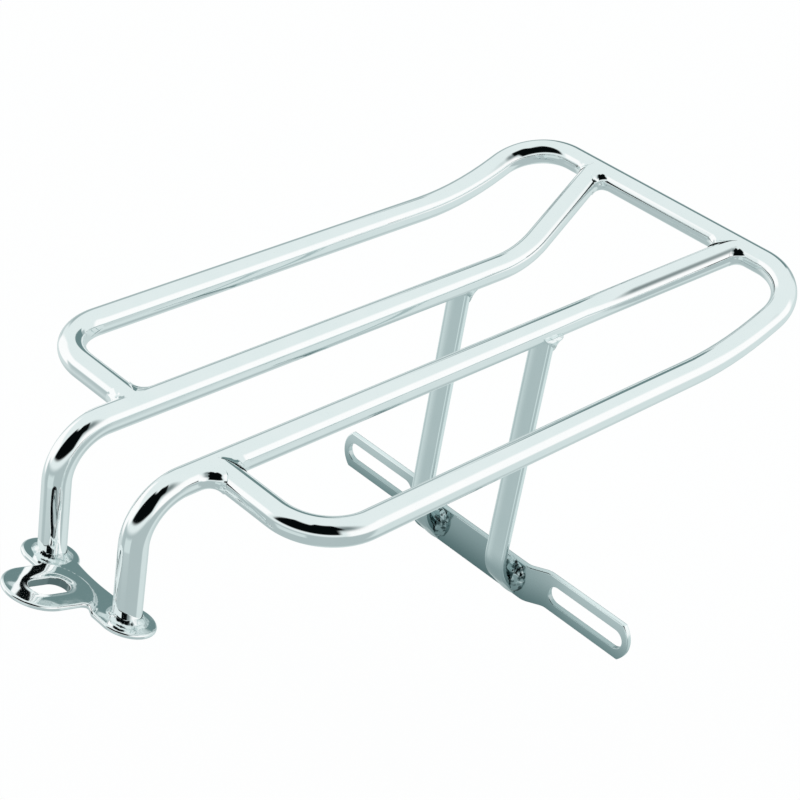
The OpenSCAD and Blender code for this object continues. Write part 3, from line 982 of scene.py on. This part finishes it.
def seam(start, way, skin, stations=180):
    """Where a tube from start along way meets a skin: places and normals of the tube."""
    first = unit(np.cross(way, (0.3, 0.5, 0.8)))
    other = np.cross(way, first)
    places, outs = [], []
    for k in range(stations):
        a = 2 * math.pi * k / stations
        out = math.cos(a) * first + math.sin(a) * other
        # Halves the stretch along the tube that holds its meeting with the skin
        reach, low = 30.0, 0.0
        for _ in range(40):
            middle = (reach + low) / 2
            spot = start + TUBE_R * out + middle * way
            on, normal = skin(spot)
            if (spot - on) @ normal > 0:
                reach = middle
            else:
                low = middle
        places.append(start + TUBE_R * out + reach * way)
        outs.append(out)
    return np.array(places), np.array(outs)


def bead(name, start, way, skin, leg, flush, crown, seed, steps=13):
    """A hand-laid fillet round a tube that stands on a skin: leg millimetres wide in the
    corners and flush times that where the two run together, rippled by its weld pools.
    Its edges run out along both skins, and crown bulges it between them."""
    rng = np.random.default_rng(seed)
    start, way = np.asarray(start, float), unit(way)
    places, outs = seam(start, way, skin)
    count = len(places)
    phase = rng.uniform(0, TURN, 8)
    ahead = np.roll(places, -1, 0) - np.roll(places, 1, 0)
    length = np.linalg.norm(ahead, axis=1).sum() / 2
    pools = round(length / POOL_L)
    points = []
    for i, (spot, out, along) in enumerate(zip(places, outs, ahead)):
        t = 2 * math.pi * i / count
        normal = skin(spot)[1]
        along = unit(along)
        up = unit(np.cross(out, along))
        up = up if up @ way > 0 else -up
        away = unit(np.cross(normal, along))
        away = away if away @ (out - way) > 0 else -away
        corner = 0.5 * (1 - out @ normal)
        full = flush + (1 - flush) * min(1.0, 2 * corner)
        # Three slow swells round the joint, and the even ripple of the pools
        uneven = 0.07 * math.sin(2 * t + phase[0]) + 0.06 * math.sin(5 * t + phase[1])
        uneven += 0.04 * math.sin(9 * t + phase[2])
        pool = abs(math.sin(pools * t / 2 + phase[3] + 0.6 * math.sin(3 * t + phase[4])))
        width = leg * full * (1 + uneven)
        head = spot + width * up - SUNK * out
        toe, under = skin(spot + width * away)
        toe = toe - SUNK * under
        bulge = (crown + 0.05 * pool * full + 0.6 * uneven * crown) * width
        lift = bulge * (normal + out)
        leaving = unit(away - under * (away @ under))
        # A cubic curve that leaves both skins along them
        first = head + (lift - width * up) * 2 / 3
        second = toe + (lift - width * leaving) * 2 / 3
        for k in range(steps):
            f = k / (steps - 1)
            g = 1 - f
            points.append(
                g**3 * head + 3 * g * g * f * first + 3 * g * f * f * second + f**3 * toe
            )
        points.append(spot - 0.35 * width * (normal + out))
    return solid(name, points, ring_faces(count, steps + 1, closed=True))


# Brushed and plated bead: bright, broken by ripples, with a few dark pits
weld_chrome = laid("chrome over brushed weld bead", "#f4f9f9", "#d3dfdf", pit=0.35)
for side, word in SIDES:
    loop_end = np.array((side * RAIL_X, 0.0, 0.0))
    front_bead = bead(
        "bead_front_" + word,
        loop_end,
        (side, 0, 0),
        cylinder_skin(loop_end, (0, 1, 0)),
        leg=7.6,
        flush=0.22,
        crown=0.0,
        seed=11 + side,
    )
    finish_piece(front_bead, tube_chrome, "weld_front_" + word)
    rail_end = np.array((side * RAIL_END_X, LOOP_END_Y, LOOP_RISE))
    rear_bead = bead(
        "bead_rear_" + word,
        rail_end,
        np.array((side * RAIL_X, KINK_Y, 0.0)) - rail_end,
        cylinder_skin(rail_end, (1, 0, 0)),
        leg=6.0,
        flush=0.22,
        crown=0.0,
        seed=21 + side,
    )
    finish_piece(rear_bead, tube_chrome, "weld_rear_" + word)
    leg_foot = np.array((side * RAIL_X, LEG_Y - PLATE_DROP * math.tan(LEG_LEAN), -PLATE_DROP))
    foot_bead = bead(
        "bead_foot_" + word,
        leg_foot - (0, 0, BELOW_PLATE),
        (0, math.sin(LEG_LEAN), math.cos(LEG_LEAN)),
        flat_skin(leg_foot, (0, math.sin(PLATE_TILT), math.cos(PLATE_TILT))),
        leg=3.0,
        flush=1.0,
        crown=0.26,
        seed=31 + side,
    )
    finish_piece(foot_bead, weld_chrome, "weld_foot_" + word)


# The welds of the struts: a fillet run in behind and ahead of each strut's top, under
# the rail, and rough lumps down both sides of its foot on the strap, where nobody looks.

# How far the welds reach past each side of a strut, at its top and at its foot
TOP_OVERHANG = 0.9
FOOT_OVERHANG = 5.0
# The legs of the fillets behind and ahead of its top, how far they reach into the rail
# and the strut, and how far their hidden backs lie in the rail
BACK_LEG = 7.4
FRONT_LEG = 0.8
IN_RAIL = 0.35
IN_STRUT = 0.15
BURIED = 0.6
# Farther out than this from the rail's middle, the weld no longer follows its curve
RAIL_HALF = 5.4
# The lumps on the strap: how far down their middle lies, their half height, and how far
# they stand out from the strap across the foot and beside it
LUMP_DROP = 148.6
LUMP_HALF = 9.9
LUMP_ACROSS = 4.6
LUMP_BESIDE = 6.4
# How far their edges and their hidden backs lie in the strap, and the backs' half height
LUMP_EDGE_IN = 0.4
LUMP_BACK_IN = 0.6
LUMP_BACK_HALF = 9.6


def lump(name, sections, rough, seed):
    """Weld metal lofted through closed sections, with an uneven skin rough millimetres
    deep where the pools froze."""
    rng = np.random.default_rng(seed)
    sections = np.array(sections)
    rings, around = sections.shape[:2]
    waves = rng.normal(size=(10, 3))
    waves *= (rng.uniform(1.0, 2.6, 10) / np.linalg.norm(waves, axis=1))[:, None]
    phase = rng.uniform(0, TURN, 10)
    flat = sections.reshape(-1, 3)
    uneven = np.sin(flat @ waves.T + phase).mean(1) * 2.2
    middle = np.repeat(sections.mean(1), around, 0)
    out = flat - middle
    out /= np.maximum(np.linalg.norm(out, axis=1), 1e-6)[:, None]
    flat = flat + out * (rough * uneven)[:, None]
    faces = ring_faces(rings, around)
    faces += [tuple(reversed(range(around))), tuple(range((rings - 1) * around, rings * around))]
    return solid(name, flat, faces)


def fillet(w, steps=12):
    """The hollow curve of a fillet, from its level leg to its upright one."""
    r = w * math.sqrt(2)
    c = w / 2 + r * math.cos(math.radians(30)) / math.sqrt(2)
    angles = np.radians(np.linspace(105, 165, steps))
    return np.column_stack((c + r * np.cos(angles), -c + r * np.sin(angles)))


def across_weld(count, taper):
    """Places across a weld, -1 to 1 and closer towards its ends, each with how full the
    weld is there. A higher taper gives more pointed ends."""
    for k in range(count + 1):
        f = math.sin(math.pi * (k / count - 0.5))
        yield f, (1 - abs(f) ** 3.0) ** taper


# Unbrushed weld: the chrome is stained and full of pits, and greyed low down and between the
# struts by painted shade
rough_chrome = laid("thin chrome over rough weld bead", "#f4f9f9", "#6f7e7f", pit=0.9)
paint_strap_shade(rough_chrome)
for side, word in SIDES:
    sections = []
    for f, full in across_weld(32, taper=0.5):
        x = side * STRUT_X + f * (BAR_W / 2 + TOP_OVERHANG)
        over = min(abs(x - side * RAIL_X), RAIL_HALF)
        corner = IN_RAIL - math.sqrt(TUBE_R**2 - over**2)
        y = STRUT_Y + math.tan(FORWARD) * corner
        half = BAR_T / 2 - IN_STRUT
        behind = fillet(0.4 + BACK_LEG * full) + (y + half, corner)
        ahead = fillet(0.2 + FRONT_LEG * full) * (-1, 1) + (y - half, corner)
        buried = [(curve[0][0], corner + BURIED) for curve in (behind, ahead)]
        ring = np.vstack((buried[0], behind, ahead[::-1], buried[1]))
        sections.append([(x, y, z) for y, z in ring])
    strut_bead = lump("bead_strut_" + word, sections, rough=0.03, seed=41 + side)
    finish_piece(strut_bead, weld_chrome, "weld_strut_" + word)
    sections = []
    for f, full in across_weld(48, taper=0.55):
        reach = f * (BAR_W / 2 + FOOT_OVERHANG)
        depth = (LUMP_ACROSS if abs(reach) < BAR_W / 2 else LUMP_BESIDE) * full
        angles = np.radians(np.linspace(0, 180, 30))
        front_y = STRAP_FACE + LUMP_EDGE_IN - (LUMP_EDGE_IN + depth) * np.sin(angles)
        front_z = LUMP_HALF * full * np.cos(angles) - LUMP_DROP
        buried_z = np.linspace(-LUMP_BACK_HALF, LUMP_BACK_HALF, 6) * full - LUMP_DROP
        buried_y = np.full_like(buried_z, STRAP_FACE + LUMP_BACK_IN)
        front = np.column_stack((front_y, front_z))
        buried = np.column_stack((buried_y, buried_z))
        sections.append([(side * STRUT_X + reach, y, z) for y, z in np.vstack((front, buried))])
    strap_bead = lump("bead_strap_" + word, sections, rough=0.65, seed=51 + side)
    finish_piece(strap_bead, rough_chrome, "weld_strap_" + word)
